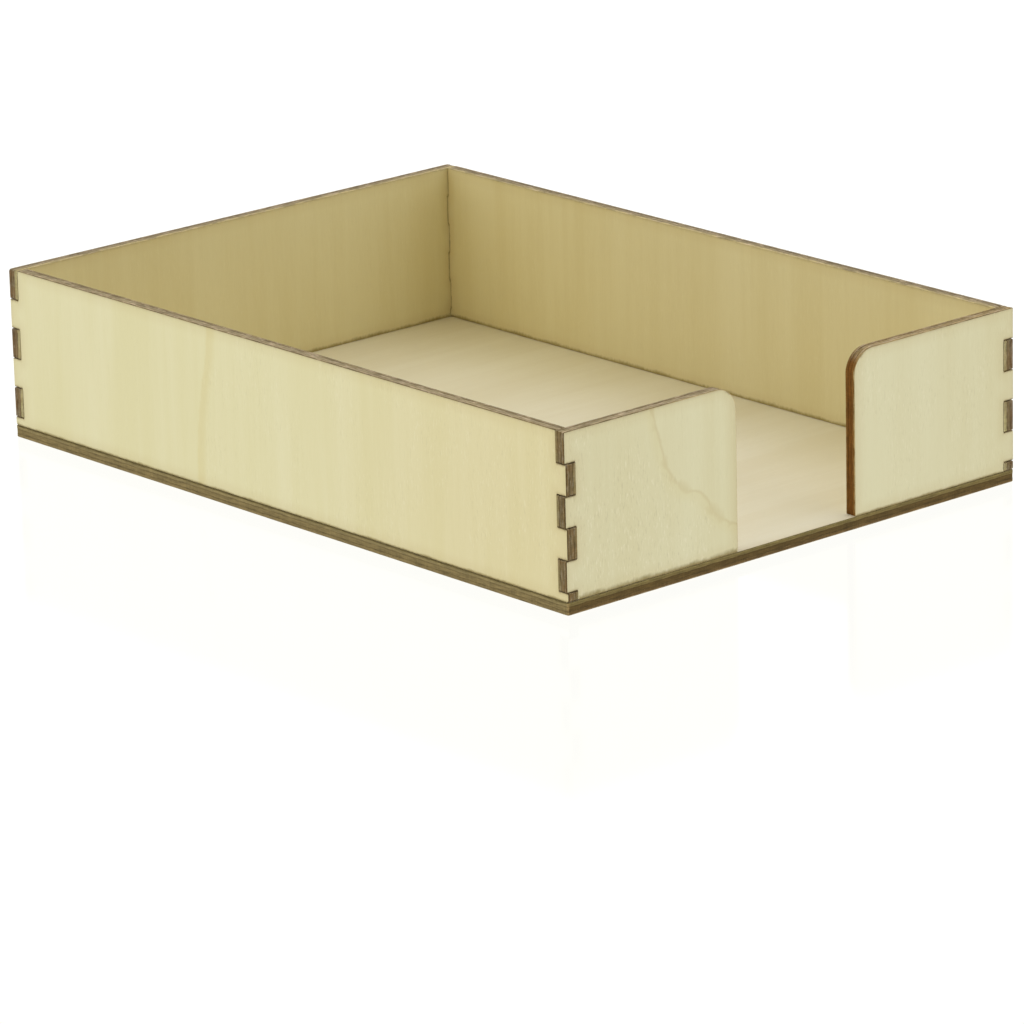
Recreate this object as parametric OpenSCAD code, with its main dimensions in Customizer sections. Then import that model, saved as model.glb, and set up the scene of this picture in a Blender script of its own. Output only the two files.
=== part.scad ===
// Open plywood tray with finger-jointed walls, a butt-glued base and a gap between two front cheeks.
// Origin at the centre of the base's underside. X runs along the front, -Y is the front, +Z is up.

/* [Tray] */
// Overall width, side to side, over the finger ends
tray_w = 190; // [180:1:320]
// Overall length, front to back, over the finger ends
tray_l = 270; // [120:1:420]
// Height of the walls above the base
wall_h = 53; // [35:1:100]

/* [Plywood] */
// Thickness of the plywood sheet
ply = 4; // [3:0.5:6]

/* [Finger joints] */
// Height of one finger, from one cut line to the next
finger_h = 10; // [6:0.5:16]
// How far a finger's end stands past the face that it comes through
finger_proud = 0.3; // [0.1:0.05:0.6]
// Gap that the laser's cut leaves between two neighbouring fingers
finger_gap = 0.2; // [0.1:0.05:0.6]

/* [Front] */
// Length of each front cheek, from the tray's side to the cheek's free edge
cheek_w = 70; // [30:1:80]
// Radius of the cheek's free top corner
cheek_r = 8; // [2:0.5:14]

/* [Hidden] */
$fn = 96;

// Length of a finger: through the neighbouring sheet, and proud of it
finger_len = ply + finger_proud;
// Number of joint levels, counted down from the rim; the lowest is what is left over
levels = ceil(wall_h / finger_h);
// How far a cutter runs past the edge that it opens
past = 1;

// Veneer colours: outer faces, inner faces and the flat base
face_colour = [0.85, 0.81, 0.62];
cheek_colour = [0.82, 0.80, 0.65];
base_colour = [0.80, 0.76, 0.60];

// Height of cut line i above the wall's bottom edge; line 0 is the rim
function cut_line(i) = max(0, wall_h - i * finger_h);

// Notches for the other panel's fingers at one end of a panel, whose end is at x = 0.
// first_level is 0 where the neighbour's fingers start at the rim, and 1 where this panel's do.
module notches(first_level) {
    for (i = [first_level : 2 : levels - 1]) {
        top = i == 0 ? wall_h + past : cut_line(i) + finger_gap / 2;
        bottom = i == levels - 1 ? -past : cut_line(i + 1) - finger_gap / 2;
        translate([-past, bottom])
            square([finger_len + past, top - bottom]);
    }
}

// Outline of a panel with joints at both ends, centred on x = 0, standing on y = 0
module panel_outline(length, first_level) {
    difference() {
        translate([-length / 2, 0])
            square([length, wall_h]);
        for (side = [0, 1])
            mirror([side, 0])
                translate([-length / 2, 0])
                    notches(first_level);
    }
}

// What is cut away to round a corner of radius r, whose tip is at the origin, above and to the right
module corner_cutter(r) {
    translate([-r, -r])
        difference() {
            square(r + past);
            circle(r);
        }
}

// Outline of a front cheek: joint at x = 0, free edge with its round top corner at x = cheek_w
module cheek_outline() {
    difference() {
        square([cheek_w, wall_h]);
        notches(1);
        translate([cheek_w, wall_h])
            corner_cutter(cheek_r);
    }
}

// Stands an outline up on the base: its x runs along +X, and its outer face looks along -Y at y = 0
module upright() {
    translate([0, ply, ply])
        rotate([90, 0, 0])
            linear_extrude(ply)
                children();
}

module base_panel() {
    color(base_colour)
        translate([-tray_w / 2, -tray_l / 2, 0])
            cube([tray_w, tray_l, ply]);
}

module left_wall() {
    color(face_colour)
        translate([-tray_w / 2 + finger_proud, 0, 0])
            rotate([0, 0, -90])
                upright()
                    panel_outline(tray_l, 0);
}

module right_wall() {
    color(face_colour)
        mirror([1, 0, 0])
            left_wall();
}

module back_wall() {
    color(face_colour)
        translate([0, tray_l / 2 - finger_proud, 0])
            rotate([0, 0, 180])
                upright()
                    panel_outline(tray_w, 1);
}

module left_front_cheek() {
    color(cheek_colour)
        translate([-tray_w / 2, -tray_l / 2 + finger_proud, 0])
            upright()
                cheek_outline();
}

module right_front_cheek() {
    color(cheek_colour)
        mirror([1, 0, 0])
            left_front_cheek();
}

base_panel();
left_wall();
right_wall();
back_wall();
left_front_cheek();
right_front_cheek();
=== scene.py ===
# Looks of the finger-jointed plywood tray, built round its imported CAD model.
# Blender works in metres; sizes here are in millimetres and are scaled when a mesh or light is made.
import math

import bmesh
import bpy
import numpy as np
from mathutils import Matrix, Vector, noise
from mathutils.geometry import delaunay_2d_cdt


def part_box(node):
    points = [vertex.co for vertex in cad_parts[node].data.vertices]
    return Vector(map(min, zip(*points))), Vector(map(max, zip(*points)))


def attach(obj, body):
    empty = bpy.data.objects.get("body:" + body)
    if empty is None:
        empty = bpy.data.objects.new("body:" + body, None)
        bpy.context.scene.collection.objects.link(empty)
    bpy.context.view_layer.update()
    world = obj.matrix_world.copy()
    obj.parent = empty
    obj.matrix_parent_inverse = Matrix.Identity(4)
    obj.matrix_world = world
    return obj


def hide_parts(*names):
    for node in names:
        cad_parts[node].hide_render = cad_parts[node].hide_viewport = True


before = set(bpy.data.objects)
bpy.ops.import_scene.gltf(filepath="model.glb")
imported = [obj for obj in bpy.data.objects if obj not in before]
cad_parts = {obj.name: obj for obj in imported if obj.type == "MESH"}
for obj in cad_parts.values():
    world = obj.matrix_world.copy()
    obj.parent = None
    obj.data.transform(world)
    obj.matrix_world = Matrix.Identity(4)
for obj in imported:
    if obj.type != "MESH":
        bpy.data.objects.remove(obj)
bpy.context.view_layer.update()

MM = 0.001

# The finger joint and the cheek's round corner, as the CAD model has them
FINGER_H = 10.0
FINGER_PROUD = 0.3
FINGER_GAP = 0.2
CHEEK_R = 8.0

# The rest comes from the CAD nodes' boxes
base_low, base_high = (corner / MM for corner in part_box("base_panel"))
wall_low, wall_high = (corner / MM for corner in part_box("left_wall"))
cheek_low, cheek_high = (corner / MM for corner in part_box("left_front_cheek"))
PLY = wall_high.x - wall_low.x
WALL_H = wall_high.z - wall_low.z
TRAY_W = base_high.x - base_low.x
TRAY_L = base_high.y - base_low.y
CHEEK_W = cheek_high.x - cheek_low.x
FINGER_LEN = PLY + FINGER_PROUD
LEVELS = math.ceil(WALL_H / FINGER_H)

# How the laser leaves an edge
TIP_R = 0.36         # round of every cut corner, seen along the sheet's thickness
FOOT_R = 0.9         # round of a wall's bottom corners, which are rubbed most
BASE_TIP_R = 0.8     # the base's four corners are handled most
ARRIS_R = 0.16       # round where an upright panel's cut edge meets a face
BASE_ARRIS_R = 0.3   # the same on the base
RIM_BAND = 0.1       # narrow band of the face beside that round
FACE_PLY = 1.25      # thickness of each outer veneer
CORE_SUNK = 0.05     # how far the core burns back behind the veneers
MIDDLE_SUNK = 0.065  # the same at the middle of the core
GLUE_SUNK = 0.09     # how far the glue lines burn back
GLUE_LINE = 0.07     # half the width of a glue line
TAPER = 0.06         # how much narrower the cut leaves the inner face
CHAR_ROUGH = 0.03    # unevenness of a burnt edge
CHAR_GRAIN = 1.9     # size of that unevenness along the edge
CHAR_DEPTH = 0.9     # and through the sheet

# How far a sheet is from flat: the length and the rise of its slow and its quick waves
SLOW_WAVE, SLOW_RISE = 55, 0.07
QUICK_WAVE, QUICK_RISE = 14, 0.014

BEND_SPAN = 20.0   # widest sideways swing of a growth ring

# Mesh density
RUN_STEP = 1.4     # between points along a straight cut
ARC_STEP = 0.45    # between points round a large corner
CELL = 3.0         # between points inside a face
EDGE_CELL = 1.0    # between points near a face's edge, where the scorch fades
EDGE_BAND = 2.2    # width of the strip along the edge that has those
EDGE_CLEAR = 0.4   # least distance from the edge to one of those

# Where a face is scorched, and where painted shadow darkens it
FOOT_BAND = 1.0    # height of the band along a panel's foot
LEVEL_CUT = 0.7    # upright part of a normal, past which its cut counts as level
LYING_BURN = 0.35  # how dark the lying base's faces are along its edges, from 0 to 1
# Along an upright panel's foot and its joints' level cuts, this darkness is scorch and painted shadow: the
# shade where the panel meets the base, and in the kerf gaps under the fingers.
FOOT_SCORCH_AND_SHADE = 0.4    # the same along an upright panel's foot
TOP_BURN = 0.5     # the same along its rim
LEVEL_SCORCH_AND_SHADE = 0.8   # the same along the level cuts of its joints

# Material slots of a piece: outer face, inner face and cut edge
OUTER, INNER, CUT = range(3)


# ---------------------------------------------------------------- outlines

def cut_line(i):
    """Height of cut line i above the wall's bottom edge; line 0 is the rim."""
    return max(0.0, WALL_H - i * FINGER_H)


def joint_corners(first_level, head_r):
    """Corners (depth, height, radius) up a jointed end, whose first notch is first_level levels down."""
    corners = []
    for level in reversed(range(LEVELS)):
        notched = level >= first_level and (level - first_level) % 2 == 0
        depth = FINGER_LEN if notched else 0.0
        grow = FINGER_GAP / 2 if notched else -FINGER_GAP / 2
        bottom = 0.0 if level == LEVELS - 1 else cut_line(level + 1) - grow
        top = WALL_H if level == 0 else cut_line(level) + grow
        at_foot = depth == 0 and bottom == 0
        at_head = depth == 0 and top == WALL_H
        corners += [(depth, bottom, FOOT_R if at_foot else TIP_R), (depth, top, head_r if at_head else TIP_R)]
    return corners


def wall_outline(length, first_level, head_r=TIP_R):
    """Corners (u, v, radius) of a panel with joints at both ends, anticlockwise, with u from 0 to length.
    head_r rounds the top corner of a finger that ends at the rim."""
    joint = joint_corners(first_level, head_r)
    return [(length - depth, height, radius) for depth, height, radius in joint] + joint[::-1]


def cheek_outline(free_on_right):
    """Corners of a front cheek: joint at one end, and a large round at the free end's top."""
    free = [(CHEEK_W, 0.0, TIP_R), (CHEEK_W, WALL_H, CHEEK_R)]
    corners = free + joint_corners(1, TIP_R)[::-1]
    if free_on_right:
        return corners
    return [(CHEEK_W - u, v, radius) for u, v, radius in reversed(corners)]


def base_outline():
    """Corners of the base, whose u runs along X and v along Y."""
    return [(0.0, 0.0, BASE_TIP_R), (TRAY_W, 0.0, BASE_TIP_R),
            (TRAY_W, TRAY_L, BASE_TIP_R), (0.0, TRAY_L, BASE_TIP_R)]


def corner_arc(before, corner, after):
    """Points and outward normals round one corner of an anticlockwise outline."""
    tip, radius = Vector(corner[:2]), corner[2]
    into = (tip - Vector(before[:2])).normalized()
    out = (Vector(after[:2]) - tip).normalized()
    turn = math.atan2(into.cross(out), into.dot(out))
    bulge = math.copysign(1.0, turn)
    first = Vector((into.y, -into.x))
    centre = tip - into * radius * math.tan(abs(turn) / 2) - first * radius * bulge
    steps = max(3, math.ceil(radius * abs(turn) / ARC_STEP))
    normals = [Matrix.Rotation(turn * i / steps, 2) @ first for i in range(steps + 1)]
    return [centre + normal * radius * bulge for normal in normals], normals


def rounded(corners):
    """Points and outward normals round a closed outline, as two arrays of pairs."""
    arcs = [corner_arc(corners[i - 1], corner, corners[(i + 1) % len(corners)])
            for i, corner in enumerate(corners)]
    points, normals = [], []
    for (arc, arc_normals), (next_arc, _) in zip(arcs, arcs[1:] + arcs[:1]):
        points += arc
        normals += arc_normals
        run = next_arc[0] - arc[-1]
        pieces = max(1, math.ceil(run.length / RUN_STEP))
        for k in range(1, pieces):
            points.append(arc[-1] + run * k / pieces)
            normals.append(arc_normals[-1])
    return np.array(points), np.array(normals)


# ---------------------------------------------------------------- sheets

def edge_profile(arris_r):
    """(depth, inset) pairs across the cut edge, from the outer face to the inner one."""
    arris = [(arris_r * (1 - math.cos(a)), arris_r * (1 - math.sin(a)))
             for a in (0.0, math.pi / 6, math.pi / 3, math.pi / 2)]
    glue = [(FACE_PLY - GLUE_LINE, 0.0), (FACE_PLY, GLUE_SUNK), (FACE_PLY + GLUE_LINE, CORE_SUNK)]
    half = [(0.0, arris_r + RIM_BAND)] + arris + [(FACE_PLY / 2, 0.0)] + glue
    middle = [(PLY / 2, MIDDLE_SUNK)]
    return half + middle + [(PLY - depth, inset) for depth, inset in reversed(half)]


def warp(u, v, seed):
    """How far the sheet stands off its plane, in millimetres: a real sheet is never quite flat."""
    slow = noise.noise(Vector((u / SLOW_WAVE, v / SLOW_WAVE, seed)))
    quick = noise.noise(Vector((u / QUICK_WAVE, v / QUICK_WAVE, seed + 40)))
    return SLOW_RISE * slow + QUICK_RISE * quick


def char(u, v, depth, seed):
    """Unevenness of a burnt edge, in millimetres."""
    return CHAR_ROUGH * noise.noise(Vector((u / CHAR_GRAIN, v / CHAR_GRAIN, depth / CHAR_DEPTH + seed)))


def inside(points, outline):
    """Which of the points lie inside the outline."""
    x, y = points.T
    within = np.zeros(len(points), bool)
    for (x0, y0), (x1, y1) in zip(outline, np.roll(outline, -1, 0)):
        if y0 != y1:
            within ^= ((y0 > y) != (y1 > y)) & (x < x0 + (y - y0) * (x1 - x0) / (y1 - y0))
    return within


def nearest_edge(points, outline):
    """Distance from each point to the outline, and the number of the outline's segment that is nearest."""
    nearest, segment = np.full(len(points), np.inf), np.zeros(len(points), int)
    for number, (start, end) in enumerate(zip(outline, np.roll(outline, -1, 0))):
        along = end - start
        share = np.clip(((points - start) @ along) / (along @ along), 0, 1)
        distance = np.hypot(*(points - start - share[:, None] * along).T)
        segment[distance < nearest] = number
        nearest = np.minimum(nearest, distance)
    return nearest, segment


def staggered(outline, step):
    """Points inside an outline, every other row shifted by half a step, and how far each is from the edge."""
    low, high = outline.min(0), outline.max(0)
    row = step * math.sqrt(0.75)
    rows, columns = int((high[1] - low[1]) / row) + 1, int((high[0] - low[0]) / step) + 2
    grid = np.array([(low[0] + (i + 0.5 * (j % 2)) * step, low[1] + (j + 0.5) * row)
                     for j in range(rows) for i in range(columns)])
    grid = grid[inside(grid, outline)]
    return grid, nearest_edge(grid, outline)[0]


def cell_points(outline):
    """Points to fill a face with: close together along the edge, and wide apart further in."""
    near, near_edge = staggered(outline, EDGE_CELL)
    far, far_edge = staggered(outline, CELL)
    return np.vstack([near[(near_edge > EDGE_CLEAR) & (near_edge < EDGE_BAND)],
                      far[far_edge > EDGE_BAND + EDGE_CELL / 2]])


class Sheet:
    """One laser-cut plywood panel, with u and v across its outer face, and depth below that face. An upright
    panel stands on v = 0 and has its grain along v; the base lies, and has its grain along u."""

    def __init__(self, node, corners, origin, u_axis, v_axis, seed, upright=True):
        self.node, self.seed, self.upright = node, seed, upright
        self.origin, self.u_axis, self.v_axis = Vector(origin), Vector(u_axis), Vector(v_axis)
        self.inward = self.v_axis.cross(self.u_axis)
        self.outline, self.normals = rounded(corners)
        self.mesh = bmesh.new()
        self.sheet_at = self.mesh.verts.layers.float_vector.new("sheet")
        self.rim_at = self.mesh.verts.layers.float.new("rim")
        # Per vertex: darkness from scorch, and painted shadow at the foot and in the joints' level cuts
        self.burn_and_shade_at = self.mesh.verts.layers.float.new("burn_and_shade")
        self.foot_at = self.mesh.verts.layers.float.new("foot")
        self.foot = self.along_foot()
        self.burn_and_shade = self.along_burn_and_shade()

    def along_foot(self):
        """1 for the points of the outline that an upright panel stands on, and 0 for the rest."""
        stands = (self.outline[:, 1] < FOOT_BAND) & (self.normals[:, 1] < -LEVEL_CUT)
        return np.where(stands & self.upright, 1.0, 0.0)

    def along_burn_and_shade(self):
        """How dark scorch and painted shadow leave the face along each point of the outline, from 0 to 1:
        most in an upright panel's level cuts, less at its foot and rim, and not at all in its upright cuts.
        At the level cuts and the foot it paints the shade in the joints' kerf gaps and where the panel meets
        the base."""
        if not self.upright:
            return np.full(len(self.outline), LYING_BURN)
        rim = self.outline[:, 1] > WALL_H - FOOT_BAND
        level = np.abs(self.normals[:, 1]) > LEVEL_CUT
        return np.select([self.foot > 0, rim, level], [FOOT_SCORCH_AND_SHADE, TOP_BURN, LEVEL_SCORCH_AND_SHADE], 0.0)

    def vertex(self, u, v, depth, rim, burn_and_shade, foot):
        """Adds a vertex. Its sheet attribute is its place across the grain, along the grain and in depth."""
        lift = warp(u, v, self.seed)
        place = self.origin + self.u_axis * u + self.v_axis * v + self.inward * (depth + lift)
        vertex = self.mesh.verts.new(place * MM)
        vertex[self.sheet_at] = (u, v, depth) if self.upright else (v, u, depth)
        vertex[self.rim_at] = rim
        vertex[self.burn_and_shade_at] = burn_and_shade
        vertex[self.foot_at] = foot
        return vertex

    def ring(self, depth, inset):
        """One loop of vertices round the outline."""
        tapered = inset + TAPER * depth / PLY
        loop = []
        for (u, v), (nu, nv), burn_and_shade, foot in zip(self.outline, self.normals, self.burn_and_shade, self.foot):
            rough = tapered - char(u, v, depth, self.seed) if 0 < depth < PLY else tapered
            loop.append(self.vertex(u - nu * rough, v - nv * rough, depth, inset, burn_and_shade, foot))
        return loop

    def face(self, loop, depth, material):
        """Fills the flat face inside a loop with small triangles."""
        rim = np.array([(v[self.sheet_at][0], v[self.sheet_at][1]) for v in loop])
        if not self.upright:
            rim = rim[:, ::-1]
        cells = cell_points(rim)
        distances, nearest = nearest_edge(cells, self.outline)
        feet = np.where(distances < EDGE_BAND, self.foot[nearest], 0.0)
        count = len(rim)
        edges = [(i, (i + 1) % count) for i in range(count)]
        flat = [Vector(p) for p in np.vstack([rim, cells])]
        places, _, triangles, origins, _, _ = delaunay_2d_cdt(flat, edges, [], 1, 1e-5)
        vertices = []
        for place, origin in zip(places, origins):
            source = origin[0]
            if source < count:
                vertices.append(loop[source])
            else:
                cell = source - count
                vertices.append(self.vertex(*place, depth, distances[cell], 0.0, feet[cell]))
        for triangle in triangles:
            made = self.mesh.faces.new([vertices[i] for i in triangle])
            made.material_index = material

    def build(self, outer, inner, cut):
        """Makes the piece, with a material for its outer face, its inner face and its cut edge."""
        profile = edge_profile(ARRIS_R if self.upright else BASE_ARRIS_R)
        rings = [self.ring(depth, inset) for depth, inset in profile]
        last = len(rings) - 2
        for k, (upper, lower) in enumerate(zip(rings, rings[1:])):
            material = {0: OUTER, last: INNER}.get(k, CUT)
            for i in range(len(upper)):
                j = (i + 1) % len(upper)
                made = self.mesh.faces.new((upper[i], upper[j], lower[j], lower[i]))
                made.material_index = material
        self.face(rings[0], 0.0, OUTER)
        self.face(rings[-1], PLY, INNER)
        bmesh.ops.recalc_face_normals(self.mesh, faces=self.mesh.faces)
        for made in self.mesh.faces:
            made.smooth = True
        data = bpy.data.meshes.new(self.node + "_sheet")
        self.mesh.to_mesh(data)
        self.mesh.free()
        for material in (outer, inner, cut):
            data.materials.append(material)
        piece = bpy.data.objects.new(self.node + "_plywood", data)
        bpy.context.scene.collection.objects.link(piece)
        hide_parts(self.node)
        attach(piece, "root")
        return piece


# ---------------------------------------------------------------- materials

def tone(red, green, blue):
    """A colour given as display values from 0 to 255, as Blender's linear RGBA."""
    def linear(value):
        value /= 255
        return value / 12.92 if value <= 0.04045 else ((value + 0.055) / 1.055) ** 2.4
    return (linear(red), linear(green), linear(blue), 1.0)


class Shader:
    """Builds one material's nodes. Each method returns an output socket."""

    def __init__(self, name):
        self.material = bpy.data.materials.new(name)
        self.material.use_nodes = True
        self.nodes = self.material.node_tree.nodes
        self.links = self.material.node_tree.links
        self.surface = self.nodes["Principled BSDF"]

    def feed(self, value, socket):
        if isinstance(value, bpy.types.NodeSocket):
            self.links.new(value, socket)
        else:
            socket.default_value = value

    def add(self, kind, inputs, output=0, **settings):
        node = self.nodes.new(kind)
        for name, value in settings.items():
            setattr(node, name, value)
        for key, value in inputs.items():
            self.feed(value, node.inputs[key])
        return node.outputs[output]

    def attribute(self, name, output):
        return self.add("ShaderNodeAttribute", {}, output, attribute_name=name)

    def math(self, operation, *values):
        return self.add("ShaderNodeMath", dict(enumerate(values)), operation=operation)

    def split(self, vector, axis):
        return self.add("ShaderNodeSeparateXYZ", {0: vector}, axis)

    def weigh(self, *terms, start):
        """Adds noises to start, each taken about its middle value and given its own weight."""
        for value, weight in terms:
            start = self.math("MULTIPLY_ADD", self.math("SUBTRACT", value, 0.5), weight, start)
        return start

    def place(self, at, scale, shift):
        """Moves and stretches a position, so that a pattern fits its grain."""
        return self.add("ShaderNodeVectorMath", {0: at, 1: scale, 2: shift}, operation="MULTIPLY_ADD")

    def noise(self, at, sizes, seed, detail=2.0, roughness=0.5, distortion=0.0):
        """Noise from 0 to 1 whose features have these sizes in millimetres across, along and in depth."""
        shift = (seed * 7.31, seed * 3.77, seed * 1.93)
        where = self.place(at, tuple(1 / size for size in sizes), shift)
        return self.add("ShaderNodeTexNoise", {"Vector": where, "Scale": 1.0, "Detail": detail,
                                               "Roughness": roughness, "Distortion": distortion})

    def fade(self, value, start, end, low=0.0, high=1.0):
        """Goes smoothly from low to high as the value goes from start to end."""
        return self.add("ShaderNodeMapRange",
                        {"Value": value, "From Min": start, "From Max": end, "To Min": low, "To Max": high},
                        interpolation_type="SMOOTHSTEP")

    def mix(self, factor, a, b, blend="MIX"):
        node = self.nodes.new("ShaderNodeMix")
        node.data_type, node.blend_type = "RGBA", blend
        sockets = {s.identifier: s for s in node.inputs}
        self.feed(factor, sockets["Factor_Float"])
        self.feed(a, sockets["A_Color"])
        self.feed(b, sockets["B_Color"])
        return next(s for s in node.outputs if s.identifier == "Result_Color")

    def ramp(self, value, stops):
        """Colours along a value, from (position, colour) pairs."""
        node = self.nodes.new("ShaderNodeValToRGB")
        elements = node.color_ramp.elements
        while len(elements) < len(stops):
            elements.new(0.5)
        for element, (position, colour) in zip(elements, stops):
            element.position, element.color = position, colour
        self.feed(value, node.inputs[0])
        return node.outputs["Color"]

    def wavy_line(self, at, seed, start, end, bends):
        """Distance in millimetres to the left of a line from start to end on the sheet, seen from outside.
        bends holds (share of the way, offset to the left) pairs; the line passes smoothly through them."""
        start, end = Vector((*start, 0)), Vector((*end, 0))
        ahead = (end - start).normalized()
        from_start = self.add("ShaderNodeVectorMath", {0: at, 1: start}, operation="SUBTRACT")
        gone = self.add("ShaderNodeVectorMath", {0: from_start, 1: ahead}, "Value", operation="DOT_PRODUCT")
        aside = self.add("ShaderNodeVectorMath", {0: from_start, 1: Vector((-ahead.y, ahead.x, 0))}, "Value",
                         operation="DOT_PRODUCT")
        curve = self.nodes.new("ShaderNodeFloatCurve")
        points = curve.mapping.curves[0].points
        while len(points) < len(bends):
            points.new(0.5, 0.5)
        for point, (share, offset) in zip(points, bends):
            point.location = (share, 0.5 + offset / BEND_SPAN)
        curve.mapping.update()
        self.feed(self.math("DIVIDE", gone, (end - start).length), curve.inputs["Value"])
        bend = self.weigh((curve.outputs[0], BEND_SPAN), start=0.0)
        wobble = self.noise(at, (2.5, 4, 9), seed, detail=3)
        return self.math("SUBTRACT", self.weigh((wobble, 1.6), start=aside), bend)

    def bump(self, height, distance):
        bumped = self.add("ShaderNodeBump", {"Height": height, "Distance": distance, "Strength": 1.0})
        self.feed(bumped, self.surface.inputs["Normal"])


def veneer(name, seed, light, dark, flecks=1.0, seam=0.0, foot_shade_and_scorch_reach=0.9, drifts=(), ring=None):
    """Pale veneer: soft bands along the grain, fine streaks, short flecks, scorched edges and painted shade.
    seam is how strong the brown line along an upright cut is, and the argument after it how high the painted
    contact shadow, mixed with scorch, reaches along the foot.
    drifts holds (axis, start, end, tint): the tint comes in from start to end, across the grain on axis X and
    along it on Y.
    ring is (band, line, start, end, bends): one growth ring along Shader.wavy_line, with the strengths of the
    darker band on its right and of the line itself."""
    s = Shader(name)
    at = s.attribute("sheet", "Vector")
    rim = s.attribute("rim", "Fac")

    # Bands along the grain, from broad to fine
    broad = s.noise(at, (17, 190, 9), seed, detail=2, distortion=0.4)
    middle = s.noise(at, (3.4, 70, 9), seed + 1, detail=3, roughness=0.6)
    fine = s.noise(at, (0.5, 9, 9), seed + 2, detail=3, roughness=0.65)
    banded = s.weigh((broad, 1.3), (middle, 0.6), (fine, 0.45), start=0.5)
    colour = s.mix(s.fade(banded, 0.1, 0.9), dark, light)
    # Drifts: a tint that comes in along one axis; the floor's drifts are painted shade and painted bounce
    # light
    for axis, start, end, tint in drifts:
        colour = s.mix(s.fade(s.split(at, axis), start, end), colour, s.mix(1.0, colour, tint, "MULTIPLY"))

    # Patches with more flecks, and a growth ring with few of them on its left
    patch = s.fade(s.noise(at, (20, 26, 9), seed + 3), 0.40, 0.60)
    if ring:
        band, line, start, end, bends = ring
        aside = s.wavy_line(at, seed + 6, start, end, bends)
        beside = s.math("MULTIPLY", s.fade(aside, 0.6, -0.6), s.fade(aside, -5.5, -1.5, 0.0, band))
        colour = s.mix(beside, colour, tone(222, 206, 138))
        blot = s.noise(at, (7, 7, 9), seed + 7, detail=2)
        spread = s.fade(blot, 0.45, 0.68, 0.9, 3.4)
        near = s.math("DIVIDE", s.math("ABSOLUTE", aside), spread)
        colour = s.mix(s.fade(near, 1.0, 0.0, 0.0, line), colour, tone(200, 178, 116))
        patch = s.math("MULTIPLY", patch, s.fade(aside, 2.0, -4.0, 0.2, 1.0))
    dash = s.noise(at, (0.42, 2.3, 9), seed + 4, detail=1.5)
    darkness = s.math("MULTIPLY_ADD", patch, 0.07 * flecks, 0.02)
    lightness = s.math("MULTIPLY_ADD", patch, 0.22 * flecks, 0.02)
    colour = s.mix(s.math("MULTIPLY", s.fade(dash, 0.60, 0.72), darkness), colour, tone(160, 146, 96))
    colour = s.mix(s.math("MULTIPLY", s.fade(dash, 0.40, 0.30), lightness), colour, tone(250, 243, 214))

    # Scorch near the edges, and painted shade: a faint warm rim, a painted contact shadow mixed with scorch
    # along the foot, and a halo and a dark line that are scorch, with painted shadow along the foot and the
    # joints' level cuts
    edge_noise = s.noise(at, (1.1, 2.2, 2.0), seed + 5, detail=2)
    reach = s.weigh((edge_noise, 0.9), start=rim)
    burn_and_shade = s.attribute("burn_and_shade", "Fac")
    foot = s.attribute("foot", "Fac")
    colour = s.mix(s.fade(rim, 5.0, 0.3, 0.0, 0.14), colour, tone(190, 158, 92))
    # Olive-brown band along the foot: painted contact shadow mixed with scorch
    foot_blotch = s.noise(at, (8, 5, 9), seed + 8, detail=3, roughness=0.6)
    foot_shadow_and_scorch = s.fade(s.weigh((foot_blotch, 1.3 * foot_shade_and_scorch_reach), (edge_noise, 0.6 * foot_shade_and_scorch_reach), start=rim), foot_shade_and_scorch_reach, 0.0, 0.0, 0.8)
    colour = s.mix(s.math("MULTIPLY", foot_shadow_and_scorch, foot), colour, tone(141, 124, 66))
    # Halo and dark line: scorch near the cuts, made strongest along the foot and the joints' level cuts,
    # where they paint shadow too
    scorch_and_shade_halo = s.math("MULTIPLY", s.fade(reach, 1.5, 0.1), s.math("MULTIPLY_ADD", burn_and_shade, 0.40, 0.06))
    colour = s.mix(scorch_and_shade_halo, colour, tone(148, 122, 62))
    char_and_shade_line = s.math("ADD", s.fade(burn_and_shade, 0.35, 1.0, 0.0, 0.7), s.fade(burn_and_shade, 0.0, 0.3, seam, 0.0))
    colour = s.mix(s.math("MULTIPLY", s.fade(reach, 0.6, 0.1), char_and_shade_line), colour, tone(90, 74, 38))
    s.feed(colour, s.surface.inputs["Base Color"])

    s.feed(s.fade(fine, 0.2, 0.8, 0.52, 0.68), s.surface.inputs["Roughness"])
    s.surface.inputs["Specular IOR Level"].default_value = 0.2
    relief = s.math("MULTIPLY_ADD", dash, 0.6, s.math("MULTIPLY", fine, 0.8))
    s.bump(relief, 0.00002)
    return s.material


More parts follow.
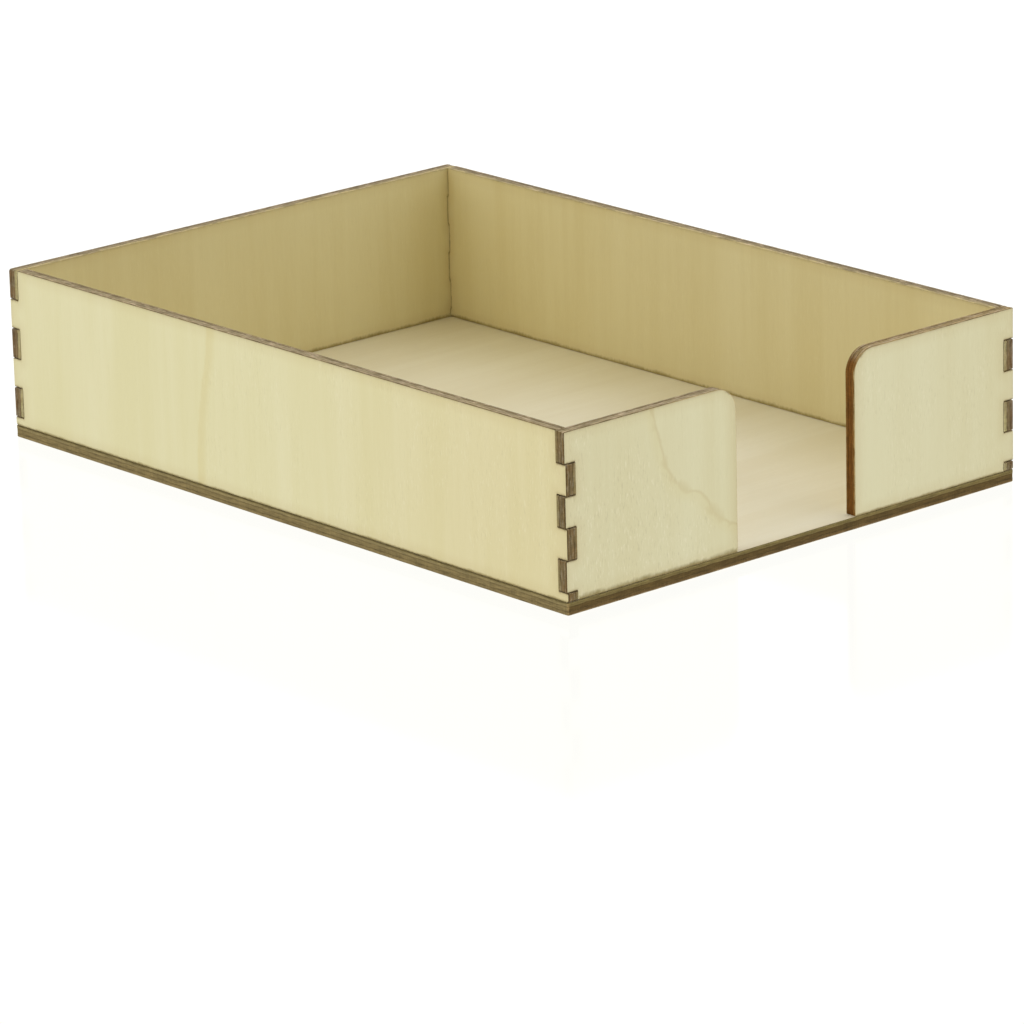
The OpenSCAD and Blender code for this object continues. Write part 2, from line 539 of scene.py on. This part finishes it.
def cut_edge(name, seed, sideways, upward, axis="Z", free=None, corner=None, worn=0.0):
    """Burnt edge of the sheet: its plies show through the char. The colours go across the thickness, and turn
    from sideways to upward as the edge turns to face along the axis. free is (plies, start, end): other
    sideways plies, which come in from start to end along the sheet. corner is the colour of rubbed upright
    corners. worn is how strongly bare wood and soot show, from 0 to 1."""
    s = Shader(name)
    at = s.attribute("sheet", "Vector")
    wander = s.noise(at, (4, 4, 1.4), seed, detail=3, roughness=0.6)
    through = s.weigh((wander, 0.16 + 0.25 * worn), start=s.math("DIVIDE", s.split(at, "Z"), PLY))

    bare = s.fade(s.noise(at, (3.6, 3.6, 0.9), seed + 4, detail=3, roughness=0.6), 0.50, 0.64)
    soot = s.fade(s.noise(at, (5.5, 5.5, 1.2), seed + 5, detail=3, roughness=0.6), 0.50, 0.64)
    # Colours where the edge faces sideways, and where it faces along the axis
    side = s.ramp(through, sideways)
    rust = s.fade(s.noise(at, (8, 8, 6), seed + 6), 0.46, 0.60)
    side = s.mix(s.math("MULTIPLY", rust, 0.45 * worn), side, tone(136, 102, 60))
    side = s.mix(s.math("MULTIPLY", bare, 0.5 * worn), side, tone(170, 160, 136))
    if free:
        free_sideways, start, end = free
        side = s.mix(s.fade(s.split(at, "X"), start, end), side, s.ramp(through, free_sideways))
    top = s.ramp(through, upward)
    top = s.mix(s.math("MULTIPLY", bare, worn), top, tone(204, 182, 152))
    top = s.mix(s.math("MULTIPLY", soot, worn), top, tone(124, 108, 76))
    normal = s.add("ShaderNodeNewGeometry", {}, "True Normal")
    colour = s.mix(s.fade(s.math("ABSOLUTE", s.split(normal, axis)), 0.45, 0.9), side, top)
    if corner:
        slant = s.math("ABSOLUTE", s.math("MULTIPLY", s.split(normal, "X"), s.split(normal, "Y")))
        colour = s.mix(s.fade(slant, 0.15, 0.45, 0.0, 0.8), colour, corner)

    # Fibres along the plies, the laser's marks across them, and a slow mottle
    fibre = s.noise(at, (2.2, 2.2, 0.22), seed + 1, detail=3, roughness=0.65)
    beam = s.noise(at, (0.35, 0.35, 5.0), seed + 2, detail=2)
    mottle = s.noise(at, (6, 6, 0.9), seed + 3, detail=2)
    shade = s.weigh((fibre, 1.1), (beam, 0.5), (mottle, 1.0), start=1.0)
    grey = s.add("ShaderNodeCombineColor", {0: shade, 1: shade, 2: shade})
    s.feed(s.mix(1.0, colour, grey, "MULTIPLY"), s.surface.inputs["Base Color"])

    s.feed(s.fade(fibre, 0.2, 0.8, 0.65, 0.9), s.surface.inputs["Roughness"])
    s.surface.inputs["Specular IOR Level"].default_value = 0.1
    s.bump(s.math("ADD", beam, fibre), 0.00006)
    return s.material


def plies(outer_arris, face, glue, core, back, inner_arris):
    """Ramp stops across a three-ply sheet, from its outer face to its inner one."""
    joint, blur = FACE_PLY / PLY, 0.05
    arris, clear = 0.04, 0.12
    return [(0.0, outer_arris), (arris, outer_arris), (clear, face),
            (joint - blur, face), (joint, glue), (joint + blur, core),
            (1 - joint - blur, core), (1 - joint, glue), (1 - joint + blur, back),
            (1 - clear, back), (1 - arris, inner_arris), (1.0, inner_arris)]


# ---------------------------------------------------------------- the tray

X, Y, Z = Vector((1, 0, 0)), Vector((0, 1, 0)), Vector((0, 0, 1))
left_x, right_x = wall_low.x, -wall_low.x
front_y, back_y = cheek_low.y, -cheek_low.y
foot_z = wall_low.z

# Plies of the near rims, the far ones and the right cheek's, of near and far finger ends, of the cheeks' free
# edges, and of the base's front and sides
GREY_RIM = plies(tone(130, 112, 76), tone(170, 152, 116), tone(126, 106, 72), tone(160, 144, 110),
                 tone(146, 130, 96), tone(122, 106, 72))
FAR_RIM = plies(tone(146, 130, 104), tone(150, 134, 106), tone(132, 116, 86), tone(152, 136, 102),
                tone(180, 162, 116), tone(202, 184, 132))
BROWN_RIM = plies(tone(146, 120, 76), tone(178, 154, 110), tone(118, 96, 58), tone(154, 132, 90),
                  tone(148, 126, 84), tone(138, 114, 70))
FINGER_END = plies(tone(92, 74, 42), tone(122, 102, 66), tone(92, 74, 44), tone(124, 106, 72),
                   tone(140, 124, 84), tone(158, 142, 96))
LIGHT_END = plies(tone(104, 86, 58), tone(118, 96, 68), tone(96, 78, 52), tone(128, 110, 78),
                  tone(170, 158, 110), tone(196, 184, 136))
FREE_EDGE = plies(tone(186, 162, 112), tone(130, 92, 42), tone(88, 58, 22), tone(122, 80, 32),
                  tone(120, 82, 36), tone(150, 116, 66))
# The base's bottom arris and its back ply are lighter than its core: partly wear, partly painted light thrown
# up by the bright floor.
BASE_FRONT = plies(tone(146, 132, 84), tone(128, 112, 68), tone(88, 70, 40), tone(102, 83, 47),
                   tone(112, 90, 54), tone(164, 142, 108))
BASE_SIDE = plies(tone(106, 94, 54), tone(146, 130, 88), tone(116, 100, 63), tone(138, 121, 80),
                  tone(138, 120, 80), tone(146, 130, 96))

# Growth rings. The left wall's and left cheek's follow the photo; the right wall's is invented
LEFT_RING = (0.32, 0.0, (95, 0), (102, WALL_H), [(0, 0), (0.43, 1.6), (0.8, 0), (1, 0)])
RIGHT_RING = (0.4, 0.2, (171, 0), (160, WALL_H), [(0, 0), (0.4, 1.5), (0.7, -0.5), (1, 0)])
CHEEK_RING = (0.12, 0.25, (35.5, WALL_H), (CHEEK_W, 8),
              [(0, 0), (0.2, -4.6), (0.42, -8), (0.53, -7), (0.64, -3.4), (0.82, -3), (1, 1)])

# Veneers. Their tones and drifts are tuned by region to the photo, under this scene's light
WALL = dict(light=tone(238, 231, 188), dark=tone(233, 225, 176))
LEFT_OUTER = dict(WALL, drifts=[("X", 120, 250, (0.97, 0.93, 0.88, 1))], ring=LEFT_RING)
CHEEK = dict(light=tone(235, 229, 190), dark=tone(229, 221, 178))
# Inner faces: their painted contact shadow along the foot reaches higher
SIDE_INNER = dict(light=tone(229, 217, 169), dark=tone(223, 209, 157), flecks=0.3, seam=0.5, foot_shade_and_scorch_reach=1.7)
END_INNER = dict(light=tone(231, 220, 171), dark=tone(225, 212, 159), flecks=0.3, seam=0.5, foot_shade_and_scorch_reach=1.7)
BACK_INNER = dict(END_INNER, light=tone(235, 224, 174), dark=tone(229, 216, 162),
                  drifts=[("X", 0, 180, (0.90, 0.89, 0.88, 1))])
RIGHT_INNER = dict(SIDE_INNER, drifts=[("X", 130, 250, (1.05, 1.04, 0.98, 1))])
# The floor's drifts are painted shade and painted bounce light: it turns yellower towards the far end, and
# darker and yellower towards the right wall, where the walls shade it and throw their colour on it.
FLOOR = dict(light=tone(233, 225, 198), dark=tone(227, 217, 186), flecks=0.3,
             drifts=[("X", 90, 220, (0.985, 0.97, 0.885, 1)), ("Y", 128, 178, (0.92, 0.905, 0.82, 1))])

# Cut edges; a cheek's plies change half way from its joint to its free edge
RIM = dict(sideways=FINGER_END, upward=GREY_RIM, worn=0.6)
FAR_CUT = dict(RIM, sideways=LIGHT_END, upward=FAR_RIM)
LEFT_CHEEK_CUT = dict(RIM, free=(FREE_EDGE, CHEEK_W * 0.4, CHEEK_W * 0.6))
RIGHT_CHEEK_CUT = dict(RIM, upward=BROWN_RIM, free=(FREE_EDGE, CHEEK_W * 0.6, CHEEK_W * 0.4))
BASE_CUT = dict(sideways=BASE_SIDE, upward=BASE_FRONT, axis="Y", corner=tone(172, 146, 98))

# Each panel, with the looks of its outer face, its inner face and its cut edge
PIECES = [
    (Sheet("base_panel", base_outline(), (base_low.x, base_low.y, base_high.z), X, Y, 1.0, upright=False),
     FLOOR, FLOOR, BASE_CUT),
    (Sheet("left_wall", wall_outline(TRAY_L, 0), (left_x, base_high.y, foot_z), -Y, Z, 2.0),
     LEFT_OUTER, SIDE_INNER, RIM),
    (Sheet("right_wall", wall_outline(TRAY_L, 0), (right_x, base_low.y, foot_z), Y, Z, 3.0),
     dict(WALL, ring=RIGHT_RING), RIGHT_INNER, FAR_CUT),
    (Sheet("back_wall", wall_outline(TRAY_W, 1, FOOT_R), (base_high.x, back_y, foot_z), -X, Z, 4.0),
     dict(WALL, flecks=1.5), BACK_INNER, FAR_CUT),
    (Sheet("left_front_cheek", cheek_outline(True), (base_low.x, front_y, foot_z), X, Z, 5.0),
     # The left cheek's painted contact shadow along its foot reaches highest
     dict(CHEEK, flecks=2.0, foot_shade_and_scorch_reach=1.9, ring=CHEEK_RING), END_INNER, LEFT_CHEEK_CUT),
    (Sheet("right_front_cheek", cheek_outline(False), (base_high.x - CHEEK_W, front_y, foot_z), X, Z, 6.0),
     dict(CHEEK, flecks=1.3), END_INNER, RIGHT_CHEEK_CUT),
]

for sheet, outer, inner, cut in PIECES:
    piece = sheet.build(veneer(sheet.node + "_outer_veneer", sheet.seed, **outer),
                        veneer(sheet.node + "_inner_veneer", sheet.seed + 20, **inner),
                        cut_edge(sheet.node + "_cut_edge", sheet.seed, **cut))


# ---------------------------------------------------------------- studio

def direction(azimuth, elevation):
    """Unit vector towards an azimuth and elevation in degrees, with azimuth 0 at the front."""
    azimuth, elevation = math.radians(azimuth), math.radians(elevation)
    level = math.cos(elevation)
    return Vector((math.sin(azimuth) * level, -math.cos(azimuth) * level, math.sin(elevation)))


def floor():
    """Bright, faintly glossy white table, as in a light tent. It is in metres, a hair below the tray."""
    radius, drop = 8.0, 0.0001
    bpy.ops.mesh.primitive_circle_add(vertices=96, radius=radius, fill_type="NGON", location=(0, 0, -drop))
    table = bpy.context.object
    table.name = "studio_floor"
    s = Shader("studio_floor")
    s.surface.inputs["Base Color"].default_value = (0.02, 0.02, 0.02, 1)
    s.surface.inputs["Roughness"].default_value = 0.10
    s.surface.inputs["Specular IOR Level"].default_value = 0.07
    s.surface.inputs["Emission Color"].default_value = (1.0, 1.0, 0.965, 1)
    s.surface.inputs["Emission Strength"].default_value = 0.955
    table.data.materials.append(s.material)


def tent():
    """White light tent, with a dark opening on the side where the photographer stands."""
    world = bpy.data.worlds.new("tent")
    bpy.context.scene.world = world
    world.use_nodes = True
    nodes, links = world.node_tree.nodes, world.node_tree.links
    place = nodes.new("ShaderNodeTexCoord")
    towards = nodes.new("ShaderNodeVectorMath")
    towards.operation = "DOT_PRODUCT"
    towards.inputs[1].default_value = direction(-36, 11)
    light = nodes.new("ShaderNodeMapRange")
    light.interpolation_type = "SMOOTHSTEP"
    light.inputs["From Min"].default_value = 0.60
    light.inputs["From Max"].default_value = 0.85
    light.inputs["To Min"].default_value = 1.1
    light.inputs["To Max"].default_value = 0.14
    nodes["Background"].inputs["Color"].default_value = (1, 1, 1, 1)
    links.new(place.outputs["Generated"], towards.inputs[0])
    links.new(towards.outputs["Value"], light.inputs["Value"])
    links.new(light.outputs[0], nodes["Background"].inputs["Strength"])


def camera():
    """Long lens from the front left, a little above the rim. Its place, angles and focal length come from a
    fit to the corners and joint lines that the photo shows."""
    back, roll = direction(-41.19, 17.29), math.radians(-1.45)
    aim = Vector((-0.0076, -0.0109, -0.0140))
    distance, lens = 2.035, 223.0
    data = bpy.data.cameras.new("camera")
    data.lens, data.sensor_width = lens, 36.0
    data.clip_start, data.clip_end = 0.1, 50.0
    eye = bpy.data.objects.new("camera", data)
    eye.location = aim + back * distance
    level = (-back).to_track_quat("-Z", "Y").to_matrix()
    eye.rotation_euler = (level @ Matrix.Rotation(roll, 3, "Z")).to_euler()
    bpy.context.scene.collection.objects.link(eye)
    bpy.context.scene.camera = eye


floor()
tent()
camera()
bpy.context.scene.view_settings.view_transform = "Standard"
